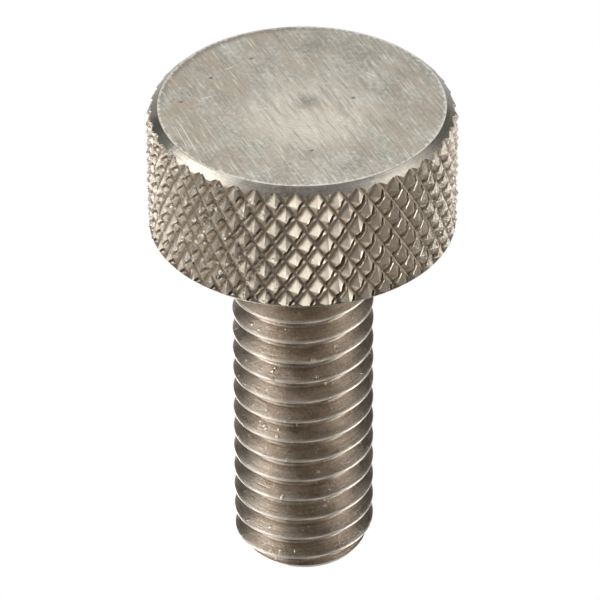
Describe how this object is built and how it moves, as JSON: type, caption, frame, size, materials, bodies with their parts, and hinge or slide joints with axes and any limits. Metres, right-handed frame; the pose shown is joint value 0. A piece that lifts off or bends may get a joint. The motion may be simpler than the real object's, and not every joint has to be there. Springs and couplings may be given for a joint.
{
  "type": "thumb screw",
  "caption": "Thumb screw with a round diamond-knurled head, chamfered flat face and a straight right-hand thread with a bevelled point.",
  "frame": {"origin": "centre of the flat face of the head, on which the screw stands", "axes": "+Z along the screw's axis from the head's face towards the point; X and Y lie in the face, and the side seen first faces -Y"},
  "size_m": [0.0126, 0.0126, 0.0216],
  "materials": {
    "steel": "worn, turned and knurled, lightly tarnished"
  },
  "bodies": {
    "root": {"thumb_screw": "steel"}
  },
  "joints": []
}
